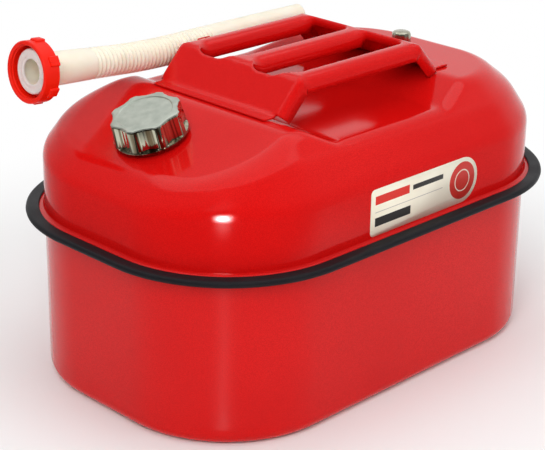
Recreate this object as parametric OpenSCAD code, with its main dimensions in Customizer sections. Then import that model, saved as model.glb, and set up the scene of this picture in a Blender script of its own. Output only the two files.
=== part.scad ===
// Steel fuel can with a screw cap, a vent screw, a three bar handle and a clipped-on flexible spout.
// Millimetres. X runs along the can, Y across it and Z up. The origin is the middle of the base.

/* [Tank] */
// length of the tank wall, without the seam trim
tank_length = 410; // [360:5:480]
// width of the tank wall, without the seam trim
tank_width = 266; // [250:2:320]
// plan radius of the four tank corners
corner_radius = 100; // [80:1:110]
// height of the seam between the two shells
seam_height = 139; // [110:1:160]
// height of the soft bend where the wall turns into the shoulder
shoulder_height = 187; // [175:1:200]
// height of the flat deck
deck_height = 228; // [215:1:250]
// run of the shoulder from the wall to the deck edge
shoulder_run = 37; // [30:1:45]
// thickness of the tank sheet
sheet = 1; // [0.8:0.1:1.5]
// width of the flat seam flange outside the wall
flange_width = 10; // [8:0.5:12]
// height of the raised panel in the base
base_panel = 5; // [3:0.5:8]

/* [Deck] */
// place of the crease where the filler slope begins
slope_start = -103; // [-115:1:-100]
// fall of the filler slope in degrees
slope_angle = 18; // [14:1:22]
// depth of the finger saddle under the handle
saddle_depth = 12; // [8:1:20]
// left and right edges of the saddle
saddle_left = -89; // [-95:1:-80]
saddle_right = 97; // [85:1:100]
// run of the left and right saddle walls
saddle_left_run = 24; // [15:1:35]
saddle_right_run = 40; // [20:1:50]

/* [Handle] */
// middle of the handle along the can
handle_x = 7; // [0:1:12]
// height of the handle top above the deck
handle_rise = 28; // [24:1:40]
// half length of the handle top and of the handle at its feet
handle_top_half = 69; // [60:1:75]
handle_fold_half = 93; // [85:1:97]
// width of the left and right handle feet
left_foot = 10; // [8:1:14]
right_foot = 18; // [10:1:20]
// half width of the handle
handle_half_width = 69; // [62:1:70]
// half width of the middle bar and width of an outer bar
middle_bar_half = 11; // [8:1:14]
outer_bar_width = 20; // [16:1:24]
// depth of the handle bars
bar_depth = 13; // [10:1:16]
// thickness of the handle sheet
handle_sheet = 2; // [1.5:0.1:3]

/* [Filler] */
// distance of the filler axis from the slope crease, along the slope
filler_reach = 51; // [48:1:56]
// radius of the filler bore
filler_bore_radius = 16.5; // [14:0.5:17.5]
// radius of the cap over its lobes
cap_radius = 29.5; // [28:0.5:31]
// height of the cap top above the slope
cap_rise = 24; // [22:0.5:26]
// number of grip lobes on the cap
cap_lobes = 8; // [6:1:10]

/* [Vent] */
// gap between the right handle foot and the vent knob
vent_gap = 4.8; // [1:0.1:12]
// radius and height of the vent knob
vent_knob_radius = 8.2; // [7.5:0.1:10]
vent_knob_height = 11; // [9:0.5:14]
// radius of the vent stud
vent_stud_radius = 4; // [3:0.5:5]

/* [Spout] */
// outer radius of the spout over its ribs
spout_radius = 12.2; // [11:0.1:13]
// wall thickness of the spout
spout_wall = 2; // [1.5:0.1:2.5]
// upward tilt of the nut end and of the tip in degrees
head_tilt = 5; // [0:0.5:8]
tip_tilt = 1.2; // [0:0.1:1.5]
// place of the bend along the can
bend_x = -80; // [-84:1:-78]
// length of the part that bends
bellows_length = 70; // [50:1:70]
// pitch of the ribs
rib_pitch = 4; // [3.5:0.1:6]
// place of the spout tip along the can
tip_x = 89; // [80:1:110]
// outer radius of the tip
tip_radius = 9; // [7.5:0.5:10]
// length of the rigid tube between bellows and nut, and of its smooth part
head_length = 76; // [66:1:80]
funnel_length = 44; // [34:1:48]
// height of the spout axis above the deck
spout_rise = 17; // [16:0.1:20]
// outer radius and length of the ring nut
nut_radius = 24; // [23.5:0.5:26]
nut_length = 14; // [13:0.5:18]
// number of grip lugs on the nut
nut_lugs = 6; // [6:1:12]

/* [Label] */
// length, height and place of the blank label on the front wall
label_length = 127; // [80:1:150]
label_height = 38; // [20:1:40]
label_x = 11; // [-20:1:20]

/* [Hidden] */
$fn = 64;

// core rectangle that the plan sections are swept around
core_x = tank_length / 2 - corner_radius;
core_y = tank_width / 2 - corner_radius;
slope_fall = tan(slope_angle);
slope_end_height = deck_height - (tank_length / 2 + slope_start) * slope_fall;
saddle_height = deck_height - saddle_depth;

// height of the top surface along the can: filler slope, flat strip, saddle, flat deck
deck_line = [
    [-tank_length / 2, slope_end_height],
    [slope_start, deck_height],
    [saddle_left, deck_height],
    [saddle_left + saddle_left_run, saddle_height],
    [saddle_right - saddle_right_run, saddle_height],
    [saddle_right, deck_height],
    [tank_length / 2, deck_height]
];
// softness of the deck edge along the can, larger over the left end
edge_line = [
    [-tank_length / 2, 38],
    [-tank_length / 2 + 30, 13],
    [slope_start, 5],
    [saddle_right, 6],
    [tank_length / 2, 4]
];

// filler frame: origin on the slope, axis square to it
filler_x = slope_start - filler_reach * cos(slope_angle);
filler_z = deck_height - filler_reach * sin(slope_angle);
neck_height = 16.5;
neck_radius = 19;
thread_height = 1.1;
cap_gasket_thickness = 2.5;
cap_skirt = 3;
cap_core_radius = neck_radius + thread_height + 3;
cap_ceiling = neck_height + cap_gasket_thickness;
ring_clear = 0.4;

// vent stack beside the right handle foot, from the deck up
vent_x = handle_x + handle_fold_half + right_foot + vent_knob_radius + vent_gap;
boss_rise = 2;
vent_gasket_thickness = 2;
vent_fit = 0.05;

// spout axis: the clip lies against the back of the handle
clip_sheet = 1.5;
clip_fit = 0.3;
clip_width = 13;
clip_x = bend_x + bellows_length / 2 + 10;
clip_lift = (clip_x - bend_x) * tan(tip_tilt);
spout_y = handle_half_width + clip_sheet + clip_fit + spout_radius;
spout_z = deck_height + spout_rise;
joint_gap = 0.8;
nut_hole_clear = 0.5;
nut_back = 3;
nut_clear = 0.5;
funnel_radius = 14;
spout_flange_radius = 17.5;
spout_flange_thickness = 4;
spout_gasket_thickness = 2;
spout_gasket_lip = 4.4;
nut_start = bellows_length / 2 + head_length;

white = [0.96, 0.93, 0.86];
red = [0.78, 0.07, 0.06];
black = [0.09, 0.09, 0.09];
chrome = [0.75, 0.76, 0.74];

// Bent paths: straight runs with rounded corners, and the same path moved sideways
function unit(v) = v / norm(v);
function left_of(v) = [-v[1], v[0]];
function spin(v, a) = [v[0] * cos(a) - v[1] * sin(a), v[0] * sin(a) + v[1] * cos(a)];
function turn_of(u, v) = atan2(u[0] * v[1] - u[1] * v[0], u * v);
function bend(a, b, c, radius, aside, steps) =
    let (
        u = unit(b - a),
        turn = turn_of(u, unit(c - b)),
        way = sign(turn),
        centre = b - u * radius * tan(abs(turn) / 2) + left_of(u) * radius * way
    )
    [for (i = [0:steps]) centre - spin(left_of(u) * way, turn * i / steps) * (radius - aside * way)];
function bent_path(corners, radii, aside, steps = 6) =
    let (
        last = len(corners) - 1,
        first_side = left_of(unit(corners[1] - corners[0])) * aside,
        last_side = left_of(unit(corners[last] - corners[last - 1])) * aside
    )
    concat(
        [corners[0] + first_side],
        [for (k = [1:last - 1])
            each bend(corners[k - 1], corners[k], corners[k + 1], radii[k - 1], aside, steps)],
        [corners[last] + last_side]
    );
function backwards(list) = [for (i = [len(list) - 1:-1:0]) list[i]];

// a bent sheet seen from its edge; a positive thickness lies to the left of the path
module bent_sheet(corners, radii, thickness) {
    polygon(concat(
        bent_path(corners, radii, 0),
        backwards(bent_path(corners, radii, thickness))
    ));
}

// sweeps a section around the tank plan; section x is measured out from the core rectangle
module around_tank() {
    for (half = [0, 180]) rotate(half) {
        translate([core_x, core_y, 0]) rotate([90, 0, 0]) linear_extrude(2 * core_y) children();
        translate([-core_x, core_y, 0]) rotate([90, 0, 90]) linear_extrude(2 * core_x) children();
        translate([core_x, core_y, 0]) rotate_extrude(angle = 90, $fn = 128) children();
        translate([-core_x, core_y, 0]) rotate(90) rotate_extrude(angle = 90, $fn = 128) children();
    }
}

// Lower shell: one deep drawn pan with a raised base panel and a flat seam flange
module lower_shell() {
    stand = 28;
    flange_bend = 3;
    base_bend = 10;
    panel_bend = 3;
    section = [
        [0, base_panel],
        [corner_radius - stand - base_panel, base_panel],
        [corner_radius - stand, 0],
        [corner_radius, 0],
        [corner_radius, seam_height - sheet],
        [corner_radius + flange_width, seam_height - sheet]
    ];
    color(red) {
        around_tank() bent_sheet(section, [panel_bend, panel_bend, base_bend, flange_bend], sheet);
        translate([-core_x, -core_y, base_panel]) cube([2 * core_x, 2 * core_y, sheet]);
    }
}

// Upper shell: rings of points run around the plan and up the wall, then rows cross the deck
arc_steps = 8;
deck_columns = 4;
shoulder_steps = 8;
flange_fillet = 3;
shoulder_bend = 16;
swell_bend = 45;

function soft_min(a, b, width) = min(a, b) - pow(max(width - abs(a - b), 0), 2) / (4 * width);
function roof(x, height, inside) =
    soft_min(height, lookup(x, deck_line) - inside * 1.07, lookup(x, edge_line));

// section of the wall and shoulder as [distance out from the core, height]
function wall_rings(inside) =
    let (
        edge = [corner_radius - shoulder_run, deck_height],
        swell = [corner_radius - 0.41 * shoulder_run,
            shoulder_height + 0.575 * (deck_height - shoulder_height)],
        corners = [
            [corner_radius + flange_width, seam_height + sheet],
            [corner_radius, seam_height + sheet],
            [corner_radius, shoulder_height],
            swell,
            edge + 0.8 * (edge - swell)
        ],
        points = bent_path(corners, [flange_fillet, shoulder_bend, swell_bend], inside, 3),
        last = len(points) - 1
    )
    concat(
        [for (i = [0:last - 1]) points[i]],
        [for (i = [1:shoulder_steps])
            points[last - 1] + (points[last] - points[last - 1]) * i / shoulder_steps]
    );

// stations of one long side from left to right, each [core point x, direction x, direction y]
side_stations = concat(
    [for (i = [0:arc_steps]) [-core_x, -cos(90 * i / arc_steps), sin(90 * i / arc_steps)]],
    [for (p = deck_line) if (abs(p[0]) < core_x - 1) [p[0], 0, 1]],
    [for (i = [0:arc_steps]) [core_x, sin(90 * i / arc_steps), cos(90 * i / arc_steps)]]
);
stations = len(side_stations);
ring_size = 2 * stations + 2 * (deck_columns - 1);

function side_point(s, front, r) = [s[0] + s[1] * r, front * (core_y + s[2] * r)];
function ring_plan(r) = concat(
    [for (s = side_stations) side_point(s, -1, r)],
    [for (j = [1:deck_columns - 1]) [core_x + r, core_y * (2 * j / deck_columns - 1)]],
    [for (s = backwards(side_stations)) side_point(s, 1, r)],
    [for (j = [1:deck_columns - 1]) [-core_x - r, core_y * (1 - 2 * j / deck_columns)]]
);
function skin_points(inside) =
    let (rings = wall_rings(inside), last = rings[len(rings) - 1])
    concat(
        [for (ring = rings) each [for (p = ring_plan(ring[0])) [p[0], p[1], roof(p[0], ring[1], inside)]]],
        [for (i = [1:stations - 2]) for (j = [1:deck_columns - 1])
            let (p = side_point(side_stations[i], 1, last[0]))
            [p[0], p[1] * (2 * j / deck_columns - 1), roof(p[0], last[1], inside)]]
    );

// number of the deck point in column j of station i; the rim of the deck is the last ring
function deck_point(i, j, first, rows) =
    j == 0 ? first + i :
    j == deck_columns ? first + 2 * stations + deck_columns - 2 - i :
    i == stations - 1 ? first + stations - 1 + j :
    i == 0 ? first + ring_size - j :
    rows + (i - 1) * (deck_columns - 1) + j - 1;
function split(quad) = [[quad[0], quad[1], quad[2]], [quad[0], quad[2], quad[3]]];
function skin_quads(rings) =
    let (first = (rings - 1) * ring_size, rows = rings * ring_size)
    concat(
        [for (k = [0:rings - 2]) for (i = [0:ring_size - 1])
            let (a = k * ring_size + i, b = k * ring_size + (i + 1) % ring_size)
            [a, a + ring_size, b + ring_size, b]],
        [for (i = [0:stations - 2]) for (j = [0:deck_columns - 1])
            [deck_point(i, j, first, rows), deck_point(i, j + 1, first, rows),
                deck_point(i + 1, j + 1, first, rows), deck_point(i + 1, j, first, rows)]]
    );
module upper_skin() {
    outside = skin_points(0);
    count = len(outside);
    quads = skin_quads(len(wall_rings(0)));
    rim = [for (i = [0:ring_size - 1])
        [i, (i + 1) % ring_size, count + (i + 1) % ring_size, count + i]];
    polyhedron(
        points = concat(outside, skin_points(sheet)),
        faces = concat(
            [for (q = quads) each split(q)],
            [for (q = quads) each split([for (p = backwards(q)) p + count])],
            [for (q = rim) each split(q)]
        ),
        convexity = 8
    );
}
module upper_shell() {
    color(red) difference() {
        upper_skin();
        on_filler() translate([0, 0, -15]) cylinder(r = neck_radius, h = 30);
        translate([vent_x, 0, deck_height - 8]) cylinder(r = vent_stud_radius + 2, h = 16);
    }
}

// Edge trim: a soft channel pressed over both seam flanges
module edge_trim() {
    trim_lip = 4.4;
    trim_cover = 5;
    trim_height = 5.4;
    inner = corner_radius + trim_lip;
    outer = corner_radius + flange_width + trim_cover;
    color(black) around_tank() difference() {
        translate([0, seam_height]) union() {
            translate([outer - trim_height / 2, 0]) circle(d = trim_height, $fn = 48);
            translate([inner, -trim_height / 2])
                square([outer - trim_height / 2 - inner, trim_height]);
        }
        translate([inner - 1, seam_height - sheet])
            square([corner_radius + flange_width + 0.4 - inner + 1, 2 * sheet]);
    }
}

// Handle: one bent pressing with two windows, its bars turned down along every edge
module handle() {
    foot_top = deck_height + handle_sheet;
    top = deck_height + handle_rise;
    lean = (handle_fold_half - handle_top_half) / (top - foot_top);
    window_left = handle_top_half + 3;
    window_right = handle_top_half - 3;
    window_width = handle_half_width - outer_bar_width - middle_bar_half;
    window_edge = middle_bar_half + window_width;
    outline = [
        [-handle_fold_half - left_foot, foot_top],
        [-handle_fold_half, foot_top],
        [-handle_top_half, top],
        [handle_top_half, top],
        [handle_fold_half, foot_top],
        [handle_fold_half + right_foot, foot_top]
    ];
    turned_edge = [
        [-handle_fold_half, foot_top - handle_sheet],
        [-handle_top_half, top - handle_sheet],
        [handle_top_half, top - handle_sheet],
        [handle_fold_half, foot_top - handle_sheet],
        [handle_fold_half - bar_depth, foot_top - handle_sheet],
        [handle_top_half - bar_depth + lean * bar_depth, top - bar_depth],
        [-handle_top_half + bar_depth - lean * bar_depth, top - bar_depth],
        [-handle_fold_half + bar_depth, foot_top - handle_sheet]
    ];
    color(red) translate([handle_x, 0, 0]) {
        difference() {
            translate([0, handle_half_width, 0]) rotate([90, 0, 0]) linear_extrude(2 * handle_half_width)
                bent_sheet(outline, [3, 9, 9, 3], -handle_sheet);
            for (side = [-1, 1])
                translate([-window_left, side > 0 ? middle_bar_half : -window_edge, top - 9])
                    cube([window_left + window_right, window_width, 20]);
        }
        for (side = [-1, 1]) {
            translate([0, side * (handle_half_width - handle_sheet / 2) + handle_sheet / 2, 0])
                rotate([90, 0, 0]) linear_extrude(handle_sheet) polygon(turned_edge);
            for (edge = [middle_bar_half - handle_sheet / 2, window_edge + handle_sheet / 2])
                translate([-handle_top_half + 3, side * edge - handle_sheet / 2, top - bar_depth])
                    cube([2 * handle_top_half - 6, handle_sheet, bar_depth - 1]);
        }
    }
}

// Spout clip: a spring strap on the back of the handle, open at the top
module spout_clip() {
    reach = spout_radius + clip_fit;
    strap = [
        [-reach, 8],
        [-reach, -reach],
        [reach, -reach],
        [reach, spout_radius - 5]
    ];
    color(red) translate([clip_x - clip_width / 2, spout_y, spout_z + clip_lift]) rotate([90, 0, 90])
        linear_extrude(clip_width) bent_sheet(strap, [reach - 0.1, reach - 0.1], -clip_sheet);
}

// Label: a thin blank film with one round end on the front wall
module label() {
    thickness = 0.3;
    foot = seam_height + sheet + flange_fillet + 0.4;
    height = min(label_height, shoulder_height - 3 - foot);
    color(white) translate([label_x, -tank_width / 2, foot]) rotate([90, 0, 0]) linear_extrude(thickness) {
        translate([-label_length / 2, 0]) square([label_length - height / 2, height]);
        translate([label_length / 2 - height / 2, height / 2]) circle(d = height);
    }
}

// Filler frame: z runs up the axis of the filler and is zero on the slope
module on_filler() {
    translate([filler_x, 0, filler_z]) rotate([0, -slope_angle, 0]) children();
}

// Filler neck: a turned steel collar welded into the slope, with rolled thread ridges
module filler_neck() {
    flange_radius = 24;
    below = 8;
    color(red) on_filler() rotate_extrude() difference() {
        union() {
            translate([0, -below]) square([neck_radius - 0.02, neck_height + below]);
            square([flange_radius, 2]);
            for (ridge = [6.5, 10, 13.5])
                translate([0, ridge - 0.8]) square([neck_radius + thread_height, 1.6]);
        }
        translate([0, -below - 1]) square([filler_bore_radius, neck_height + below + 2]);
    }
}

// Cap gasket: a soft ring between the neck rim and the cap
module cap_gasket() {
    color(black) on_filler() translate([0, 0, neck_height]) difference() {
        cylinder(r = neck_radius + thread_height, h = cap_gasket_thickness);
        translate([0, 0, -1]) cylinder(r = filler_bore_radius + 0.5, h = cap_gasket_thickness + 2);
    }
}

// Cap thread ring: the threaded sleeve pressed into the cap
module cap_thread_ring() {
    inner = neck_radius + thread_height + ring_clear;
    color(chrome) on_filler() translate([0, 0, cap_skirt + 1]) difference() {
        cylinder(r = cap_core_radius, h = cap_ceiling - cap_skirt - 1);
        translate([0, 0, -1]) cylinder(r = inner, h = cap_ceiling);
    }
}

// Cap shell: a plated cup with scooped grips, a rolled lower rim and a sunk top
module cap_shell() {
    scoop_radius = 16;
    scoop_depth = 2.4;
    rim_height = 3;
    color(chrome) on_filler() difference() {
        rotate_extrude($fn = 96) difference() {
            union() {
                translate([0, cap_skirt]) square([cap_radius - 1.5, cap_rise - cap_skirt - 2]);
                translate([0, cap_skirt]) square([cap_radius, cap_rise - cap_skirt - 4]);
                translate([0, cap_rise - 3]) square([cap_radius - 3, 3]);
            }
            translate([0, -1]) square([cap_core_radius, cap_ceiling + 1]);
            translate([0, cap_rise - 0.8]) square([cap_radius - 6, 2]);
        }
        for (i = [0:cap_lobes - 1]) rotate(i * 360 / cap_lobes)
            translate([cap_radius + scoop_radius - scoop_depth, 0, cap_skirt + rim_height])
                cylinder(r = scoop_radius, h = cap_rise);
    }
}

// Vent boss: a threaded collar brazed into the deck
module vent_boss() {
    below = 8;
    color(red) translate([vent_x, 0, deck_height]) rotate_extrude() difference() {
        union() {
            translate([0, -below]) square([vent_stud_radius + 1.98, below + 1]);
            square([vent_knob_radius, boss_rise]);
        }
        translate([0, -below - 1]) square([vent_stud_radius, below + boss_rise + 2]);
    }
}

// Vent gasket: a soft washer held under the knob
module vent_gasket() {
    color(black) translate([vent_x, 0, deck_height + boss_rise]) difference() {
        cylinder(r = vent_knob_radius - 0.4, h = vent_gasket_thickness);
        translate([0, 0, -1]) cylinder(r = vent_stud_radius, h = vent_gasket_thickness + 2);
    }
}

// Vent screw: a plated knob with flat grips on a drilled stud
module vent_screw() {
    foot = deck_height + boss_rise + vent_gasket_thickness;
    grips = 8;
    color(chrome) translate([vent_x, 0, 0]) difference() {
        union() {
            translate([0, 0, foot]) cylinder(r = vent_knob_radius - 0.6, h = vent_knob_height);
            translate([0, 0, foot + 1]) cylinder(r = vent_knob_radius, h = vent_knob_height - 2.5);
            translate([0, 0, deck_height - 12])
                cylinder(r = vent_stud_radius - vent_fit, h = foot - deck_height + 13);
        }
        for (i = [0:grips - 1]) rotate((i + 0.5) * 360 / grips)
            translate([vent_knob_radius - 0.5, -4, foot + 2]) cube([4, 8, vent_knob_height - 5]);
        translate([0, 0, deck_height - 13]) cylinder(r = 1.4, h = 11);
        translate([0, 0, deck_height - 4]) rotate([0, 90, 0]) cylinder(r = 1, h = 20, center = true);
    }
}

// Spout frames: z runs along the tip to the right, or along the head to the nut
module on_tip() {
    translate([bend_x, spout_y, spout_z]) rotate([0, 90 - tip_tilt, 0]) children();
}
module on_bellows() {
    translate([bend_x, spout_y, spout_z]) rotate([0, -90 + (head_tilt - tip_tilt) / 2, 0]) children();
}
module on_head() {
    translate([bend_x, spout_y, spout_z]) rotate([0, -90 + head_tilt, 0]) children();
}

// outer edge of a ribbed length as [radius, distance]
rib_depth = 1.3;
function ribs(start, count) = [for (i = [0:count - 1]) each [
    [spout_radius - rib_depth, start + (i + 0.1) * rib_pitch],
    [spout_radius, start + (i + 0.3) * rib_pitch],
    [spout_radius, start + (i + 0.7) * rib_pitch],
    [spout_radius - rib_depth, start + (i + 0.9) * rib_pitch]
]];
function inner_edge(edge) = [for (p = backwards(edge)) [p[0] - spout_wall, p[1]]];
module moulded_tube(edge) {
    rotate_extrude() polygon(concat(edge, inner_edge(edge)));
}

// Spout tip: ribbed where the clip holds it, then a smooth slender tube
module spout_tip() {
    start = bellows_length / 2 + joint_gap;
    rib_count = 6;
    smooth = start + (rib_count + 0.5) * rib_pitch;
    tip_end = tip_x - bend_x;
    edge = concat(
        [[spout_radius - rib_depth, start]],
        ribs(start + 1, rib_count),
        [[spout_radius - 0.4, smooth + 4], [tip_radius + 1, tip_end - 30], [tip_radius, tip_end]]
    );
    color(white) on_tip() moulded_tube(edge);
}

// Spout bellows: the ribbed length that bends
module spout_bellows() {
    start = -bellows_length / 2;
    rib_count = floor((bellows_length - 4) / rib_pitch);
    margin = (bellows_length - rib_count * rib_pitch) / 2;
    edge = concat(
        [[spout_radius - rib_depth, start]],
        ribs(start + margin, rib_count),
        [[spout_radius - rib_depth, -start]]
    );
    color(white) on_bellows() moulded_tube(edge);
}

// Spout funnel: a ribbed length, the smooth wide end and the flange that the nut pulls on
module spout_funnel() {
    start = bellows_length / 2 + joint_gap;
    smooth = nut_start - funnel_length;
    rib_count = floor((smooth - start - 1) / rib_pitch);
    face = nut_start + nut_back + nut_hole_clear;
    edge = concat(
        [[spout_radius - rib_depth, start]],
        ribs(start + 1, rib_count),
        [[spout_radius - 0.2, smooth], [funnel_radius, nut_start - 8], [funnel_radius, face + 1]]
    );
    color(white) on_head() rotate_extrude() union() {
        polygon(concat(edge, inner_edge(edge)));
        translate([funnel_radius - spout_wall, face])
            square([spout_flange_radius - funnel_radius + spout_wall, spout_flange_thickness]);
    }
}

// Spout gasket: a soft ring on the face of the spout flange
module spout_gasket() {
    face = nut_start + nut_back + nut_hole_clear + spout_flange_thickness;
    color(white) on_head() translate([0, 0, face]) difference() {
        cylinder(r = spout_flange_radius, h = spout_gasket_thickness);
        translate([0, 0, -1]) cylinder(r = funnel_radius - spout_gasket_lip, h = spout_gasket_thickness + 2);
    }
}

// Spout nut: a loose ring nut that screws on the filler neck
module spout_nut() {
    lug_rise = 1.2;
    thread_radius = neck_radius + thread_height + nut_clear;
    color(red) on_head() translate([0, 0, nut_start]) difference() {
        union() {
            cylinder(r = nut_radius, h = nut_length);
            for (i = [0:nut_lugs - 1]) rotate(i * 360 / nut_lugs)
                translate([nut_radius - 3, -4, 0]) cube([3 + lug_rise, 8, 0.6 * nut_length]);
        }
        translate([0, 0, nut_back]) cylinder(r = thread_radius, h = nut_length);
        translate([0, 0, -1]) cylinder(r = funnel_radius + nut_hole_clear, h = nut_back + 2);
    }
}

lower_shell();
upper_shell();
edge_trim();
handle();
spout_clip();
label();
filler_neck();
cap_gasket();
cap_thread_ring();
cap_shell();
vent_boss();
vent_gasket();
vent_screw();
spout_tip();
spout_bellows();
spout_funnel();
spout_gasket();
spout_nut();
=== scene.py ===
# Fuel can: a red pressed steel tank with a seam trim, a bar handle, a plated cap and a clipped-on spout.
# Metres. X runs along the can, Y across it and Z up. The origin is the middle of the base.
import bpy
import math
from mathutils import Matrix, Vector, geometry


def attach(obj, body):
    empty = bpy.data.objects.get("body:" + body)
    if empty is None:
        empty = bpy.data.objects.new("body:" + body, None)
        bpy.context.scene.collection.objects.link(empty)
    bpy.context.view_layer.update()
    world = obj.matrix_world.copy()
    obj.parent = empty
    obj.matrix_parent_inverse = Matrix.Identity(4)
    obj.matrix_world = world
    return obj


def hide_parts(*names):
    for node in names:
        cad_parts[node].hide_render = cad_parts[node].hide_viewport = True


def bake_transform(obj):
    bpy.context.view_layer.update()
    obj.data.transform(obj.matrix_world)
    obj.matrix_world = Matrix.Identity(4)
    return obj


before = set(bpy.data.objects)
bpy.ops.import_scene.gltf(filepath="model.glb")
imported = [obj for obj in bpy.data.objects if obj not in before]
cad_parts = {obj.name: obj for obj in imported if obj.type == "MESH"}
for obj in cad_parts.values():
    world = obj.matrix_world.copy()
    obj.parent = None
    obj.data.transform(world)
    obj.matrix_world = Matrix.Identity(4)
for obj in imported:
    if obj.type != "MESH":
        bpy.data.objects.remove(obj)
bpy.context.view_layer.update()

# Lower shell
# A pan drawn deep from one steel sheet and sprayed with red gloss paint.
# It stands on the flat margin of its base, and its rim is turned out into the seam flange.
mm = 0.001
core_x = 105 * mm
core_y = 33 * mm
wall_reach = 100 * mm
flange_reach = 110 * mm
flange_bend = 3 * mm
sheet = 1 * mm
seam_height = 139 * mm
base_bend = 10 * mm
stand_width = 28 * mm
panel_height = 5 * mm
panel_reach = 20 * mm
panel_bend = 3 * mm
arc_steps = 28


def bent_line(corners, radii, steps):
    """Straight runs with rounded corners, as flat points."""
    points = [Vector(corners[0])]
    for before, corner, after, radius in zip(corners, corners[1:], corners[2:], radii):
        here = Vector(corner)
        back = (Vector(before) - here).normalized()
        onward = (Vector(after) - here).normalized()
        half = back.angle(onward) / 2
        centre = here + (back + onward).normalized() * radius / math.sin(half)
        first = here + back * radius / math.tan(half) - centre
        last = here + onward * radius / math.tan(half) - centre
        start = math.atan2(first.y, first.x)
        turn = math.remainder(math.atan2(last.y, last.x) - start, math.tau)
        for i in range(steps + 1):
            angle = start + turn * i / steps
            points.append(centre + radius * Vector((math.cos(angle), math.sin(angle))))
    points.append(Vector(corners[-1]))
    return points


def linked(name, data):
    """A new object in the scene."""
    thing = bpy.data.objects.new(name, data)
    bpy.context.collection.objects.link(thing)
    return thing


def smooth_piece(name, mesh, sharp):
    """A smooth shaded piece; edges that turn more than the sharp angle stay crisp."""
    mesh.shade_smooth()
    mesh.set_sharp_from_angle(angle=math.radians(sharp))
    return linked(name, mesh)


def new_piece(name, points, faces, sharp=180):
    """A piece from its points and faces."""
    mesh = bpy.data.meshes.new(name)
    mesh.from_pydata(points, [], faces)
    return smooth_piece(name, mesh, sharp)


def plan_ring(reach, height):
    """One ring around the tank plan, seen anticlockwise from above."""
    ring = []
    for quarter, (side_x, side_y) in enumerate(((1, 1), (-1, 1), (-1, -1), (1, -1))):
        for i in range(arc_steps + 1):
            angle = math.radians(90 * (quarter + i / arc_steps))
            x = side_x * core_x + reach * math.cos(angle)
            y = side_y * core_y + reach * math.sin(angle)
            ring.append((x, y, height))
    return ring


def bands(rings, size):
    """Faces between rings that follow each other downwards, facing out."""
    faces = []
    for k in range(rings - 1):
        for i in range(size):
            a = k * size + i
            b = k * size + (i + 1) % size
            faces.append((a, a + size, b + size, b))
    return faces


def thicken(piece, thickness):
    """Gives a sheet its thickness behind the face that shows."""
    solid = piece.modifiers.new("sheet", "SOLIDIFY")
    solid.thickness = thickness
    solid.offset = -1


def feed(tree, place, value):
    """Gives an input its value: the socket of another node or a plain value."""
    if isinstance(value, bpy.types.NodeSocket):
        tree.links.new(value, place)
    else:
        place.default_value = value


def add_node(tree, kind, feeds, **modes):
    """A new node in a tree, with its modes set and its inputs fed."""
    node = tree.nodes.new(kind)
    for mode, choice in modes.items():
        setattr(node, mode, choice)
    for place, value in feeds.items():
        feed(tree, node.inputs[place], value)
    return node


def fresh_material(name):
    """A new material with its node tree and its shader."""
    material = bpy.data.materials.new(name)
    material.use_nodes = True
    tree = material.node_tree
    return material, tree, tree.nodes["Principled BSDF"]


def sprayed_film():
    """Group: the fine skin of sprayed or moulded surfaces as a height, a fleck mask and a slow drift."""
    group = bpy.data.node_groups.new("sprayed_film", "ShaderNodeTree")
    layers = (("Skin Scale", "Height", 2), ("Fleck Scale", "Fleck", 0), ("Drift Scale", "Drift", 3))
    for scale, result, _ in layers:
        group.interface.new_socket(scale, in_out="INPUT", socket_type="NodeSocketFloat")
        group.interface.new_socket(result, in_out="OUTPUT", socket_type="NodeSocketFloat")
    scales = group.nodes.new("NodeGroupInput").outputs
    place = group.nodes.new("ShaderNodeTexCoord").outputs["Object"]
    results = group.nodes.new("NodeGroupOutput").inputs
    for scale, result, detail in layers:
        feeds = {"Vector": place, "Scale": scales[scale], "Detail": detail}
        noise = add_node(group, "ShaderNodeTexNoise", feeds)
        feed(group, results[result], noise.outputs["Fac"])
    return group


film_group = sprayed_film()


def two_tone(tree, mask, span, dark, light):
    """A colour that runs from dark to light as the mask runs over a span."""
    ramp = add_node(tree, "ShaderNodeValToRGB", {"Fac": mask})
    for stop, position, colour in zip(ramp.color_ramp.elements, span, (dark, light)):
        stop.position = position
        stop.color = (*colour, 1)
    return ramp.outputs["Color"]


def stretched(tree, mask, low, high):
    """A value that follows a mask between two limits."""
    limits = {"From Min": 0.3, "From Max": 0.7, "To Min": low, "To Max": high}
    return add_node(tree, "ShaderNodeMapRange", {"Value": mask, **limits}).outputs["Result"]


def blended(tree, mask, first, second):
    """Two colours mixed by a mask; each is a socket or a plain colour."""
    mix = add_node(tree, "ShaderNodeMix", {"Factor": mask}, data_type="RGBA")
    places = [socket for socket in mix.inputs if socket.type == "RGBA"]
    for place, colour in zip(places, (first, second)):
        feed(tree, place, (*colour, 1) if isinstance(colour, tuple) else colour)
    return next(socket for socket in mix.outputs if socket.type == "RGBA")


def grain(tree, shader, height, strength, depth):
    """Turns a height into the shader's surface grain."""
    bump = add_node(tree, "ShaderNodeBump", {"Height": height, "Strength": strength, "Distance": depth})
    feed(tree, shader.inputs["Normal"], bump.outputs["Normal"])


def coat(name, scales, rough, rough_by="Drift", shine=None):
    """A material on the sprayed film, with its roughness and shine; its colour and grain come after.

    The scales are those of the film's skin, fleck and drift.
    """
    material, tree, shader = fresh_material(name)
    feeds = dict(zip(("Skin Scale", "Fleck Scale", "Drift Scale"), scales))
    film = add_node(tree, "ShaderNodeGroup", feeds, node_tree=film_group).outputs
    feed(tree, shader.inputs["Roughness"], stretched(tree, film[rough_by], *rough))
    for place, value in (shine or {}).items():
        shader.inputs[place].default_value = value
    return material, tree, shader, film


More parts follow.
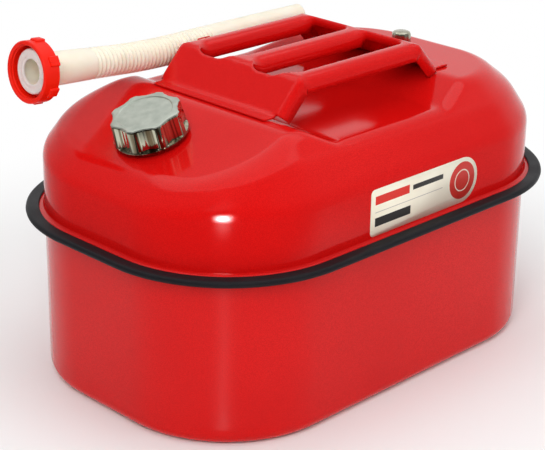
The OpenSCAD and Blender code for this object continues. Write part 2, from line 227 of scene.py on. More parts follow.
def red_paint():
    """Sprayed gloss enamel: faint orange peel, fine flecks and a slow change of shade."""
    material, tree, shader, film = coat(
        "red_paint", scales=(420, 1500, 9), rough=(0.08, 0.13), shine={"Specular IOR Level": 0.16})
    drift = two_tone(tree, film["Drift"], (0.3, 0.7), (0.58, 0.003, 0.003), (0.66, 0.005, 0.005))
    flecks = two_tone(tree, film["Fleck"], (0.35, 0.65), (0.54, 0.002, 0.002), (0.72, 0.01, 0.008))
    feed(tree, shader.inputs["Base Color"], blended(tree, film["Drift"], drift, flecks))
    grain(tree, shader, film["Height"], strength=0.12, depth=0.1 * mm)
    return material


paint = red_paint()
panel_edge = wall_reach - stand_width
pan_section = bent_line(
    [
        (flange_reach, seam_height - sheet),
        (wall_reach, seam_height - sheet),
        (wall_reach, 0),
        (panel_edge, 0),
        (panel_edge - panel_height, panel_height),
        (panel_reach, panel_height),
    ],
    [flange_bend, base_bend, panel_bend, panel_bend],
    steps=8,
)
pan_points = [p for spot in pan_section for p in plan_ring(spot.x, spot.y)]
ring_size = len(plan_ring(wall_reach, 0))
base_face = tuple(reversed(range(len(pan_points) - ring_size, len(pan_points))))
lower_shell = new_piece("lower_shell_sheet", pan_points, bands(len(pan_section), ring_size) + [base_face])
lower_shell.data.materials.append(paint)
thicken(lower_shell, sheet)
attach(lower_shell, "can")
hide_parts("lower_shell")

# Upper shell
# The pressed top: a short wall, a soft shoulder, a deck that falls away to the filler and a finger saddle.
# It is drawn from the same sheet as the pan, and its flange lies on the pan's flange in the seam.
shoulder_height = 188 * mm
deck_height = 228 * mm
shoulder_run = 37 * mm
shoulder_bends = [flange_bend, 25 * mm, 45 * mm]
slope_start = -103 * mm
slope_angle = math.radians(18)
saddle_left = -89 * mm
saddle_right = 97 * mm
saddle_floor = (-65 * mm, 57 * mm)
saddle_height = deck_height - 12 * mm
deck_end = core_x + wall_reach
deck_line = [
    (-deck_end, deck_height - (deck_end + slope_start) * math.tan(slope_angle)),
    (slope_start, deck_height),
    (saddle_left, deck_height),
    (saddle_floor[0], saddle_height),
    (saddle_floor[1], saddle_height),
    (saddle_right, deck_height),
    (deck_end, deck_height),
]
# softness of the edge between shoulder and deck along the can, larger over the filler end
edge_line = [
    (-deck_end, 38 * mm),
    (-175 * mm, 13 * mm),
    (slope_start, 5 * mm),
    (saddle_right, 6 * mm),
    (deck_end, 4 * mm),
]


def along(line, x):
    """The height of a broken line at x."""
    for (x0, y0), (x1, y1) in zip(line, line[1:]):
        if x <= x1:
            return y0 + (y1 - y0) * max(x - x0, 0) / (x1 - x0)
    return line[-1][1]


def deck_at(x, soft=5 * mm, steps=6):
    """The deck line with its creases pressed round."""
    heights = [along(deck_line, x + soft * i / steps) for i in range(-steps, steps + 1)]
    return sum(heights) / len(heights)


def roof(x, height):
    """The lower of the shoulder and the deck, with a soft edge between them."""
    deck = deck_at(x)
    width = along(edge_line, x)
    overlap = max(width - abs(height - deck), 0)
    return min(height, deck) - overlap * overlap / (4 * width)


# the shoulder swells out over the straight line from wall to deck, and its last run goes on past the deck
swell_in = 0.41 * shoulder_run
swell_up = 0.575 * (deck_height - shoulder_height)
swell = Vector((wall_reach - swell_in, shoulder_height + swell_up))
deck_edge = Vector((wall_reach - shoulder_run, deck_height))
overrun = 0.8
wall_section = bent_line(
    [
        (flange_reach, seam_height + sheet),
        (wall_reach, seam_height + sheet),
        (wall_reach, shoulder_height),
        swell,
        deck_edge + overrun * (deck_edge - swell),
    ],
    shoulder_bends,
    steps=9,
)
shoulder_steps = 40
shoulder_foot, shoulder_top = wall_section[-2:]
shoulder_rows = [shoulder_foot.lerp(shoulder_top, i / shoulder_steps) for i in range(1, shoulder_steps + 1)]
wall_section = wall_section[:-1] + shoulder_rows

side_steps = 60
columns = 40
quarter_turns = [math.pi * i / 2 / arc_steps for i in range(arc_steps + 1)]
side_stations = [(-core_x, -math.cos(turn), math.sin(turn)) for turn in quarter_turns]
side_stations += [(core_x * (2 * i / side_steps - 1), 0, 1) for i in range(1, side_steps)]
side_stations += [(core_x, math.sin(turn), math.cos(turn)) for turn in quarter_turns]
station_count = len(side_stations)


def top_ring(reach, height):
    """One ring of the pressed top, with matching stations on its front and back."""
    front = [(x + dx * reach, -core_y - dy * reach) for x, dx, dy in side_stations]
    ends = [core_y * (2 * j / columns - 1) for j in range(1, columns)]
    plan = front + [(core_x + reach, y) for y in ends]
    plan += [(x, -y) for x, y in reversed(front)] + [(-core_x - reach, -y) for y in ends]
    return [(x, y, roof(x, height)) for x, y in plan]


top_size = 2 * station_count + 2 * (columns - 1)
top_points = [p for spot in wall_section for p in top_ring(spot.x, spot.y)]
deck_rows = len(top_points)
first_rim = deck_rows - top_size


def deck_number(i, j):
    """The number of the deck point in column j of station i; the deck's rim is the last ring."""
    if j == 0:
        return first_rim + i
    if j == columns:
        return first_rim + 2 * station_count + columns - 2 - i
    if i == station_count - 1:
        return first_rim + station_count - 1 + j
    if i == 0:
        return first_rim + top_size - j
    return deck_rows + (i - 1) * (columns - 1) + j - 1


for i in range(1, station_count - 1):
    x, y, z = top_points[first_rim + i]
    top_points += [(x, y * (1 - 2 * j / columns), z) for j in range(1, columns)]
top_faces = [tuple(reversed(face)) for face in bands(len(wall_section), top_size)]
for i in range(station_count - 1):
    for j in range(columns):
        cell = ((i, j), (i + 1, j), (i + 1, j + 1), (i, j + 1))
        top_faces.append(tuple(deck_number(a, b) for a, b in cell))
top_faces = [face for face in top_faces if len(set(face)) == len(face)]

# the sheet is cut out under the filler neck, whose flange covers the edge of the hole
filler_reach = 51 * mm
neck_reach = 19 * mm
filler_x = slope_start - filler_reach * math.cos(slope_angle)
filler = Vector((filler_x, 0, deck_height - filler_reach * math.sin(slope_angle)))
past_neck = [(Vector(p) - filler).length > neck_reach for p in top_points]
top_faces = [face for face in top_faces if any(past_neck[i] for i in face)]
upper_shell = new_piece("upper_shell_sheet", top_points, top_faces)
upper_shell.data.materials.append(paint)
thicken(upper_shell, sheet)
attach(upper_shell, "can")
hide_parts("upper_shell")

# Edge trim
# A soft black vinyl channel with a round back, pressed over the two flanges all the way round.
# Its lips grip the flanges, and it keeps the raw sheet edge off hands and paint.
# its section is in millimetres, out from the centres of the tank's round corners and up from the seam
trim_half = 2.7
trim_lip = 104.4
lip_cut = 0.6
back_middle = 112.28
back_turns = [math.radians(angle) for angle in range(-90, 91, 30)]
slot_half = 1
slot_end = 110.3
trim_section = (
    [(trim_lip, lip_cut - trim_half), (trim_lip + lip_cut, -trim_half)]
    + [(back_middle + trim_half * math.cos(turn), trim_half * math.sin(turn)) for turn in back_turns]
    + [(trim_lip + lip_cut, trim_half), (trim_lip, trim_half - lip_cut)]
    + [(trim_lip, slot_half), (slot_end, slot_half), (slot_end, -slot_half), (trim_lip, -slot_half)]
)


def form_tree(name, sockets):
    """An empty geometry tree and its inputs, which are listed by kind."""
    tree = bpy.data.node_groups.new(name, "GeometryNodeTree")
    for kind, labels in sockets.items():
        for label in labels:
            tree.interface.new_socket(label, in_out="INPUT", socket_type="NodeSocket" + kind)
    tree.interface.new_socket("Geometry", in_out="OUTPUT", socket_type="NodeSocketGeometry")
    return tree, tree.nodes.new("NodeGroupInput").outputs


def finish_tree(tree, shape, material):
    """Ends a tree in real geometry with its material."""
    real = add_node(tree, "GeometryNodeRealizeInstances", {"Geometry": shape})
    feeds = {"Geometry": real.outputs["Geometry"], "Material": material}
    painted = add_node(tree, "GeometryNodeSetMaterial", feeds)
    add_node(tree, "NodeGroupOutput", {"Geometry": painted.outputs["Geometry"]})
    return tree


def made_by(tree, name, values, sharp=40):
    """Runs a geometry tree with the given values and keeps its result as a plain mesh piece."""
    maker = linked(name + "_maker", bpy.data.meshes.new(name + "_maker"))
    work = maker.modifiers.new("form", "NODES")
    work.node_group = tree
    for socket in tree.interface.items_tree:
        if socket.in_out == "INPUT":
            work[socket.identifier] = values[socket.name]
    drawn = maker.evaluated_get(bpy.context.evaluated_depsgraph_get())
    mesh = bpy.data.meshes.new_from_object(drawn)
    mesh.name = name
    bpy.data.objects.remove(maker)
    return smooth_piece(name, mesh, sharp)


def seam_sweep():
    """Tree: a section swept around a rectangle with round corners."""
    tree, given = form_tree("seam_sweep", {
        "Float": ("Length", "Width", "Corner", "Height"),
        "Object": ("Section",), "Material": ("Material",)})
    plan = add_node(tree, "GeometryNodeCurvePrimitiveQuadrilateral", {
        "Width": given["Length"], "Height": given["Width"]})
    rounded = add_node(tree, "GeometryNodeFilletCurve", {
        "Curve": plan.outputs["Curve"], "Radius": given["Corner"], "Count": 40}, mode="POLY")
    section = add_node(tree, "GeometryNodeObjectInfo", {"Object": given["Section"]})
    sweep = add_node(tree, "GeometryNodeCurveToMesh", {
        "Curve": rounded.outputs["Curve"], "Profile Curve": section.outputs["Geometry"]})
    lift = add_node(tree, "ShaderNodeCombineXYZ", {"Z": given["Height"]})
    place = add_node(tree, "GeometryNodeTransform", {
        "Geometry": sweep.outputs["Mesh"], "Translation": lift.outputs["Vector"]})
    return finish_tree(tree, place.outputs["Geometry"], given["Material"])


def section_curve(name, points):
    """A closed flat outline as a curve object for a sweep."""
    curve = bpy.data.curves.new(name, "CURVE")
    curve.dimensions = "3D"
    line = curve.splines.new("POLY")
    line.points.add(len(points) - 1)
    for spot, (x, y) in zip(line.points, points):
        spot.co = (x, y, 0, 1)
    line.use_cyclic_u = True
    return linked(name, curve)


def trim_vinyl():
    """Soft black vinyl: fine matt grain with a breath of dust in it."""
    material, tree, shader, film = coat(
        "trim_vinyl", scales=(900, 2600, 40), rough=(0.4, 0.55), shine={"Specular IOR Level": 0.12})
    flecks = two_tone(tree, film["Fleck"], (0.35, 0.7), (0.007, 0.007, 0.009), (0.016, 0.015, 0.018))
    dusty = two_tone(tree, film["Drift"], (0.5, 0.8), (0, 0, 0), (0.35, 0.35, 0.35))
    feed(tree, shader.inputs["Base Color"], blended(tree, dusty, flecks, (0.03, 0.028, 0.03)))
    grain(tree, shader, film["Height"], strength=0.3, depth=0.1 * mm)
    return material


trim_outline = section_curve("trim_outline", [(x * mm - flange_reach, y * mm) for x, y in trim_section])
edge_trim = made_by(seam_sweep(), "edge_trim_channel", {
    "Length": 2 * (core_x + flange_reach), "Width": 2 * (core_y + flange_reach), "Corner": flange_reach,
    "Height": seam_height, "Section": trim_outline, "Material": trim_vinyl()})
bpy.data.objects.remove(trim_outline)
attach(edge_trim, "can")
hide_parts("edge_trim")

# Handle
# One steel pressing: two flat feet, two leaning end plates and three bars between two windows.
# Its outer and window edges are rolled down, and its feet are spot welded to the deck.
handle_x = 7 * mm
handle_sheet = 1.6 * mm

# the rest is in millimetres until the handle is placed; u runs along the flat strip and y across it
handle_corners = [(-103, 230), (-93, 230), (-69, 256), (69, 256), (93, 230), (111, 230)]
handle_bends = [3, 9, 9, 3]
handle_half = 69
middle_bar = 11
outer_bar = 20
bar_depth = 13
foot_half = 63
bar_roll = 8.8
plate_roll = 5.5
window_end_roll = 1.2
window_half_width = (handle_half - middle_bar - outer_bar) / 2
window_middle = middle_bar + window_half_width


def handle_strip():
    """The side view of the handle as straight runs and bends, each with its length along the strip."""
    runs = []
    reached = 0
    here = Vector(handle_corners[0])
    corners = zip(handle_corners, handle_corners[1:], handle_corners[2:], handle_bends)
    for before, corner, after, radius in corners:
        inward = (Vector(corner) - Vector(before)).normalized()
        onward = (Vector(after) - Vector(corner)).normalized()
        turn = -inward.angle_signed(onward)
        cut = radius * math.tan(abs(turn) / 2)
        start = Vector(corner) - inward * cut
        length = (start - here).length
        runs.append({"from": reached, "to": reached + length, "start": here, "way": inward})
        reached += length
        side = math.copysign(1, turn)
        centre = start + Vector((-inward.y, inward.x)) * radius * side
        runs.append({"from": reached, "to": reached + radius * abs(turn), "centre": centre,
                     "radius": radius, "arm": start - centre, "turn": turn})
        reached += radius * abs(turn)
        here = Vector(corner) + onward * cut
    length = (Vector(handle_corners[-1]) - here).length
    way = (Vector(handle_corners[-1]) - here).normalized()
    runs.append({"from": reached, "to": reached + length, "start": here, "way": way})
    return runs


handle_runs = handle_strip()
strip_length = handle_runs[-1]["to"]
foot_step = 0.3
plate_start = handle_runs[1]["to"] + foot_step
plate_end = handle_runs[-2]["from"] - foot_step
closing_gap = 0.01


def turned_by(arm, angle):
    """An arm turned anticlockwise."""
    x = arm.x * math.cos(angle) - arm.y * math.sin(angle)
    y = arm.x * math.sin(angle) + arm.y * math.cos(angle)
    return Vector((x, y))


def strip_spot(u, depth):
    """A point of the side view, a depth below the outer face; deep points meet on the mitre of a bend."""
    run = next((r for r in handle_runs if u <= r["to"]), handle_runs[-1])
    if "way" in run:
        way = run["way"]
        return run["start"] + way * (u - run["from"]) + Vector((way.y, -way.x)) * depth
    share = (u - run["from"]) / (run["to"] - run["from"])
    arm = turned_by(run["arm"], run["turn"] * share)
    if run["turn"] > 0:
        return run["centre"] + arm * (run["radius"] + depth) / run["radius"]
    if depth <= run["radius"]:
        return run["centre"] + arm * (run["radius"] - depth) / run["radius"]
    middle = turned_by(run["arm"], run["turn"] / 2) / run["radius"]
    return run["centre"] - middle * (depth - run["radius"]) / math.cos(run["turn"] / 2)


def strip_at(x):
    """The length along the strip at which it reaches x."""
    return next(u / 10 for u in range(int(strip_length * 10)) if strip_spot(u / 10, 0).x >= x)


window_left = strip_at(-72)
window_right = strip_at(66)
fold_left = strip_at(-66)
fold_right = window_right
left_corner = 13
right_corner = 3


def eased(value, low, high):
    """Nought below the low value, one above the high value, and a soft rise between them."""
    share = min(max((value - low) / (high - low), 0), 1)
    return share * share * (3 - 2 * share)


def window_gap(u, y):
    """How far a spot of the flat strip lies from the nearest window's edge."""
    along_window = u - (window_left + window_right) / 2
    across = abs(abs(y) - window_middle)
    corner = left_corner if along_window < 0 else right_corner
    over_x = abs(along_window) - (window_right - window_left) / 2 + corner
    over_y = across - window_half_width + corner
    outside = math.hypot(max(over_x, 0), max(over_y, 0))
    return outside + min(max(over_x, over_y), 0) - corner


def outer_gap(u, y):
    """How far a spot of the flat strip lies from its outer edge; the feet are narrower than the plates."""
    on_plate = min(u - plate_start, plate_end - u)
    if on_plate < 0:
        return min(foot_half - abs(y), u, strip_length - u)
    if abs(y) > foot_half:
        return min(handle_half - abs(y), on_plate)
    return handle_half - abs(y)


def rolled(gap, radius):
    """How far a rolled edge falls at a distance from its rim."""
    short = radius - min(max(gap, 0), radius)
    return radius - math.sqrt(max(radius * radius - short * short, 0))


def sheet_fall(u, y):
    """How far the face falls at its rolled edges, which are rounder along the bars than at their ends."""
    by_window = eased(u, window_left + 4, window_left + 20) * eased(window_right - u, -4, 9)
    by_fold = eased(u, fold_left - 6, fold_left + 6) * eased(fold_right - u, -6, 6)
    window_roll = window_end_roll + (bar_roll - window_end_roll) * by_window
    edge_roll = plate_roll + (bar_roll - plate_roll) * by_fold
    return max(rolled(handle_half - abs(y), edge_roll), rolled(window_gap(u, y), window_roll))


def rim_depth(u, y):
    """The depth of the turned edge: full on the outer rim and the bars, shallow at the window ends."""
    if abs(y) > handle_half - 0.1:
        return bar_depth
    if min(u - plate_start, plate_end - u) < 1:
        return 0
    shallow = 2
    left_end = eased(u, window_left + 5, window_left + 14)
    right_end = 0.45 + 0.55 * eased(window_right - u, 0, 5)
    return shallow + (bar_depth - shallow) * left_end * right_end


def evenly(spots, step=2.5):
    """A closed line of spots, split into steps of about the same length."""
    loop = []
    for a, b in zip(spots, spots[1:] + spots[:1]):
        parts = max(1, round((b - a).length / step))
        loop += [a.lerp(b, i / parts) for i in range(parts)]
    return loop


def rounded_outline(u0, u1, y0, y1, corners):
    """A rectangle of the flat strip with its own radius at the left and right corners."""
    left, right = corners
    middle = (u0 + u1) / 2
    ends = [(middle, y1), (u0, y1), (u0, y0), (u1, y0), (u1, y1), (middle + closing_gap, y1)]
    return evenly(bent_line(ends, [left, left, right, right], steps=8))


def window_outlines(inset):
    """The outlines of both windows, widened by an inset."""
    outlines = []
    for side in (-1, 1):
        low = side * window_middle - window_half_width - inset
        high = side * window_middle + window_half_width + inset
        corners = (left_corner + inset, right_corner + inset)
        outlines.append(rounded_outline(window_left - inset, window_right + inset, low, high, corners))
    return outlines


def strip_outline():
    """The outer edge of the flat strip, stepped in at the feet."""
    near, far = plate_start, plate_end
    middle = strip_length / 2
    ends = [(middle, handle_half), (near, handle_half), (near, foot_half), (0, foot_half)]
    ends += [(0, -foot_half), (near, -foot_half), (near, -handle_half), (far, -handle_half)]
    ends += [(far, -foot_half), (strip_length, -foot_half), (strip_length, foot_half), (far, foot_half)]
    ends += [(far, handle_half), (middle + closing_gap, handle_half)]
    return evenly(bent_line(ends, [0.8, 1.2, 4, 4, 1.2, 0.8] * 2, steps=4))


def handle_mesh():
    """Meshes the flat strip around its windows, rolls its edges and bends it into the handle."""
    outlines = [strip_outline()] + window_outlines(0)
    spots = [p for loop in outlines for p in loop]
    edges = []
    first = 0
    for loop in outlines:
        edges += [(first + i, first + (i + 1) % len(loop)) for i in range(len(loop))]
        first += len(loop)

    # rows of spots follow the edges closely where the sheet rolls, and a plain grid fills the rest
    wanted = []
    for inset in (0.25, 0.8, 1.7, 3.0, 4.6, 6.5, 8.6):
        half = handle_half - inset
        wanted += rounded_outline(inset, strip_length - inset, -half, half, (4, 4))
        for outline in window_outlines(inset):
            wanted += outline
    grid_u = 3
    grid_y = 3.45
    grid_rows = 19
    for i in range(1, int(strip_length / grid_u)):
        wanted += [Vector((i * grid_u, j * grid_y)) for j in range(-grid_rows, grid_rows + 1)]
    apart = 0.9
    margin = 0.2
    kept = {}
    for p in wanted:
        rim = min(window_gap(p.x, p.y), outer_gap(p.x, p.y))
        cell = (round(p.x / apart), round(p.y / apart))
        if rim > margin and cell not in kept:
            kept[cell] = p
    spots += list(kept.values())
    flat, _, cells, _, _, _ = geometry.delaunay_2d_cdt(spots, edges, [], 0, 1e-4)
    inside = []
    for cell in cells:
        middle = sum((flat[i] for i in cell), Vector((0, 0))) / len(cell)
        if min(window_gap(middle.x, middle.y), outer_gap(middle.x, middle.y)) > 0:
            inside.append(tuple(cell))
    points = []
    for p in flat:
        spot = strip_spot(p.x, sheet_fall(p.x, p.y))
        points.append((spot.x, p.y, spot.y))

    # the rim is every edge with a face on one side only, and it is turned down clear of the deck
    uses = dict.fromkeys((a, b) for cell in inside for a, b in zip(cell, cell[1:] + cell[:1]))
    rim = [(a, b) for a, b in uses if (b, a) not in uses]
    least_wall = 0.3
    deck_gap = 0.6
    below = {}
    placed = {}
    for a in sorted({i for pair in rim for i in pair}):
        u, y = flat[a]
        depth = rim_depth(u, y)
        if depth > sheet_fall(u, y) + least_wall:
            spot = strip_spot(u, depth)
            clear = deck_at(spot.x * mm + handle_x) / mm + deck_gap
            where = (round(spot.x, 2), round(y, 2), round(max(spot.y, clear), 2))
            if where not in placed:
                placed[where] = len(points)
                points.append(where)
            below[a] = placed[where]
    walls = []
    for a, b in rim:
        wall = tuple(dict.fromkeys([a] + [below[i] for i in (a, b) if i in below] + [b]))
        if len(wall) > 2:
            walls.append(wall)
    return [(x * mm + handle_x, y * mm, z * mm) for x, y, z in points], inside + walls


handle = new_piece("handle_pressing", *handle_mesh())
handle.data.materials.append(paint)
thicken(handle, handle_sheet)
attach(handle, "can")
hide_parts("handle")

# Spout clip
# A narrow spring strap bent into an open loop and welded to the back bar of the handle.
# The spout snaps into it from above; it is painted with the handle.
spout_y = 83 * mm
spout_z = 245 * mm
spout_reach = 12.2 * mm
tip_tilt = math.radians(1.2)
bend_spot = Vector((-80 * mm, spout_y, spout_z))
clip_x = -35 * mm
clip_width = 13 * mm
clip_sheet = 1.5 * mm
clip_reach = spout_reach + 0.3 * mm
clip_foot = 8 * mm
clip_lip = spout_reach - 5 * mm
clip_middle = spout_z + (clip_x - bend_spot.x) * math.tan(tip_tilt)
strap_line = bent_line(
    [
        (-clip_reach, clip_foot),
        (-clip_reach, -clip_reach),
        (clip_reach, -clip_reach),
        (clip_reach, clip_lip),
    ],
    [clip_reach - 0.1 * mm] * 2,
    steps=14,
)
strap_points = []
for spot in strap_line:
    for side in (-1, 1):
        strap_points.append((clip_x + side * clip_width / 2, spout_y + spot.x, clip_middle + spot.y))
strap_faces = [(2 * i, 2 * i + 1, 2 * i + 3, 2 * i + 2) for i in range(len(strap_line) - 1)]
spout_clip = new_piece("spout_clip_strap", strap_points, strap_faces)
spout_clip.data.materials.append(paint)
thicken(spout_clip, clip_sheet)
strap_edge = spout_clip.modifiers.new("edge", "BEVEL")
strap_edge.width = 0.35 * mm
strap_edge.segments = 2
strap_edge.limit_method = "ANGLE"
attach(spout_clip, "can")
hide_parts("spout_clip")

# Label
# A satin plastic film stuck on the front wall above the seam, with one round end.
# Its print is plain: a red band, two dark bars, a hairline and a red disc with a pale ring.
label_x = 11 * mm
label_length = 127 * mm
label_height = 38 * mm
label_sheet = 0.25 * mm
label_corner = 4 * mm
label_foot = 143.4 * mm
label_face = -133.3 * mm
label_left = label_x - label_length / 2
label_end = label_height / 2
label_middle = label_foot + label_end
disc_x = label_x + label_length / 2 - label_end


def maths(tree, operation, first, second=0):
    """One sum in a tree; each side is a socket or a plain number."""
    return add_node(tree, "ShaderNodeMath", {0: first, 1: second}, operation=operation).outputs["Value"]


def box_mask(tree, axes, start, end, low, high):
    """One inside a rectangle, in millimetres from the film's lower left corner, and nought outside it."""
    mask = maths(tree, "GREATER_THAN", axes["X"], label_left + start * mm)
    for operation, axis, limit in (
        ("LESS_THAN", "X", label_left + end * mm),
        ("GREATER_THAN", "Z", label_foot + low * mm),
        ("LESS_THAN", "Z", label_foot + high * mm),
    ):
        mask = maths(tree, "MULTIPLY", mask, maths(tree, operation, axes[axis], limit))
    return mask


def label_print():
    """Pale film with plain printed shapes, a little yellowed."""
    material, tree, shader, film = coat(
        "label_print", scales=(900, 1800, 35), rough=(0.34, 0.48), shine={"Specular IOR Level": 0.25})
    place = tree.nodes.new("ShaderNodeTexCoord").outputs["Object"]
    axes = add_node(tree, "ShaderNodeSeparateXYZ", {"Vector": place}).outputs
    colour = two_tone(tree, film["Drift"], (0.3, 0.7), (0.86, 0.79, 0.64), (0.92, 0.86, 0.72))
    red = (0.66, 0.03, 0.02)
    grey = (0.42, 0.38, 0.36)
    black = (0.03, 0.028, 0.026)
    pale = (0.86, 0.79, 0.66)
    for start, end, low, high, ink in (
        (5, 44, 25, 32, red),
        (48, 84, 26.5, 30.5, black),
        (5, 84, 18.7, 19.2, grey),
        (5, 46, 7.5, 14.5, black),
    ):
        colour = blended(tree, box_mask(tree, axes, start, end, low, high), colour, ink)
    disc = {0: place, 1: (disc_x, label_face, label_middle)}
    from_middle = add_node(tree, "ShaderNodeVectorMath", disc, operation="DISTANCE").outputs["Value"]
    for reach, ink in ((15.5 * mm, red), (9.2 * mm, pale), (8.2 * mm, red)):
        colour = blended(tree, maths(tree, "LESS_THAN", from_middle, reach), colour, ink)
    feed(tree, shader.inputs["Base Color"], colour)
    grain(tree, shader, film["Height"], strength=0.12, depth=0.05 * mm)
    return material


label_steps = 16
label_outline = []
for radius, x, z, first, span in (
    (label_end, disc_x, label_middle, -90, 180),
    (label_corner, label_left + label_corner, label_foot + label_height - label_corner, 90, 90),
    (label_corner, label_left + label_corner, label_foot + label_corner, 180, 90),
):
    for i in range(label_steps + 1):
        angle = math.radians(first + span * i / label_steps)
        label_outline.append((x + radius * math.cos(angle), label_face, z + radius * math.sin(angle)))
label = new_piece("label_film", label_outline, [tuple(range(len(label_outline)))])
label.data.materials.append(label_print())
thicken(label, label_sheet)
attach(label, "can")
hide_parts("label")

# Filler neck and its seal
# A turned steel collar with rolled thread ridges, welded into the slope and painted with the can.
# A soft black ring lies on its rim, and an alloy sleeve with the thread is pressed into the cap.


def plain_coat(name, scales, tones, rough, bumps, rough_by="Drift", shine=None, span=(0.3, 0.7)):
    """A coat in two near tones that drift into each other, with bumps of a strength and a depth."""
    material, tree, shader, film = coat(name, scales, rough, rough_by, shine)
    feed(tree, shader.inputs["Base Color"], two_tone(tree, film["Drift"], span, *tones))
    grain(tree, shader, film["Height"], *bumps)
    return material


def black_rubber():
    """Matt rubber with a fine grain and a faint bloom."""
    return plain_coat(
        "black_rubber", scales=(1400, 3000, 120), tones=((0.012, 0.012, 0.013), (0.03, 0.029, 0.028)),
        rough=(0.5, 0.7), rough_by="Fleck", bumps=(0.3, 0.08 * mm), span=(0.35, 0.7))


def cast_alloy():
    """Dull cast alloy with a grainy skin."""
    return plain_coat(
        "cast_alloy", scales=(1600, 2600, 90), tones=((0.42, 0.42, 0.43), (0.58, 0.58, 0.57)),
        rough=(0.35, 0.55), rough_by="Fleck", bumps=(0.3, 0.08 * mm), shine={"Metallic": 1})


def dress(node, finish):
    """Gives a CAD node its finish."""
    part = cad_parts[node]
    part.data.materials.clear()
    part.data.materials.append(finish)


rubber = black_rubber()
dress("filler_neck", paint)
dress("cap_gasket", rubber)
dress("cap_thread_ring", cast_alloy())

# Cap shell
# A die-cast cap with bright plating: eight narrow grip lobes, flat faces between them and a lower rim.
# Its top is satin with a shallow sunk disc; it turns on the filler neck.
cap_lobes = 8
cap_flat = 26.6 * mm
cap_hollow_face = 0.8 * mm
cap_reach = 29 * mm
lobe_reach = cap_reach - 0.3 * mm
cap_skirt = 3 * mm
cap_rise = 24 * mm
cap_hollow = 23.1 * mm
cap_ceiling = 19 * mm
cap_disc = cap_rise - 0.7 * mm
satin_from = cap_rise - 0.9 * mm
lip_reach = 21.4 * mm
disc_reach = 20.6 * mm
disc_middle = 12 * mm
lobe_crown = 4.5  # degrees
lobe_foot = 9.5  # degrees
cap_steps = 192
# height above the rim over which painted shade darkens the plating
rim_shade_height = 9 * mm
filler_turn = Matrix.Translation(filler) @ Matrix.Rotation(-slope_angle, 4, "Y")


def cap_side(inset):
    """The plan of the cap, drawn in by an inset: faintly hollow faces with a narrow lobe where two meet."""
    pitch = math.tau / cap_lobes

    def reach_at(angle):
        off_lobe = abs(math.remainder(angle - pitch / 2, pitch))
        face = cap_flat / math.cos(pitch / 2 - off_lobe) - cap_hollow_face * (2 * off_lobe / pitch) ** 2
        lobe = 1 - eased(math.degrees(off_lobe), lobe_crown, lobe_foot)
        return face + (lobe_reach - face) * lobe - inset * mm

    return reach_at


def ringed(name, rows, count):
    """A closed turned form from rows of (height, radius at an angle); it starts and ends on its axis."""
    points = [(0, 0, rows[0][0])]
    for height, radius in rows:
        for i in range(count):
            angle = math.tau * i / count
            reach = radius(angle) if callable(radius) else radius
            points.append((reach * math.cos(angle), reach * math.sin(angle), height))
    points.append((0, 0, rows[-1][0]))
    top = len(points) - 1
    last = top - count
    faces = []
    for i in range(count):
        j = (i + 1) % count
        faces.append((0, 1 + j, 1 + i))
        faces.append((top, last + i, last + j))
        for k in range(len(rows) - 1):
            a = 1 + k * count
            faces.append((a + i, a + j, a + count + j, a + count + i))
    return new_piece(name, points, faces, sharp=40)


def bright_plate():
    """Bright nickel with an olive cast; upright ripples in the casting break up what it mirrors, and the
    same ripples paint dark and light upright bands of reflection into its colour. Near its lower rim the
    plating is darkened by painted shade.
    """
    material, tree, shader, _ = coat(
        "bright_plate", scales=(260, 900, 70), rough=(0.05, 0.13), shine={"Metallic": 1})
    place = tree.nodes.new("ShaderNodeTexCoord").outputs["Object"]
    feeds = {"Vector": place, "Location": filler, "Rotation": (0, -slope_angle, 0)}
    upright = add_node(tree, "ShaderNodeMapping", feeds, vector_type="TEXTURE").outputs["Vector"]
    level = add_node(tree, "ShaderNodeVectorMath", {0: upright, 1: (1, 1, 0)}, operation="MULTIPLY")
    around = add_node(tree, "ShaderNodeVectorMath", {0: level.outputs["Vector"]}, operation="NORMALIZE")
    feeds = {"Vector": around.outputs["Vector"], "Scale": 7, "Detail": 1}
    wave_and_reflection_band_mask = add_node(tree, "ShaderNodeTexNoise", feeds).outputs["Fac"]
    # painted reflections: dark and light upright bands in the plating's colour, laid out by the casting's
    # ripple mask
    painted_reflection_bands = two_tone(tree, wave_and_reflection_band_mask, (0.40, 0.52), (0.16, 0.12, 0.07), (0.54, 0.54, 0.41))
    height = add_node(tree, "ShaderNodeSeparateXYZ", {"Vector": upright}).outputs["Z"]
    # painted shade: the plating darkens towards its lower rim, next to the deck
    feeds = {"Value": height, "From Min": cap_skirt + rim_shade_height, "From Max": cap_skirt, "To Max": 0.75}
    painted_rim_shade = add_node(tree, "ShaderNodeMapRange", feeds).outputs["Result"]
    feed(tree, shader.inputs["Base Color"], blended(tree, painted_rim_shade, painted_reflection_bands, (0.10, 0.08, 0.05)))
    grain(tree, shader, wave_and_reflection_band_mask, strength=0.5, depth=1.5 * mm)
    return material


def satin_plate():
    """The satin top of the cap: fine grain and a faint cool bloom."""
    return plain_coat(
        "satin_plate", scales=(1500, 2400, 120), tones=((0.34, 0.37, 0.32), (0.45, 0.48, 0.42)),
        rough=(0.3, 0.45), rough_by="Fleck", bumps=(0.2, 0.06 * mm), shine={"Metallic": 0.75})


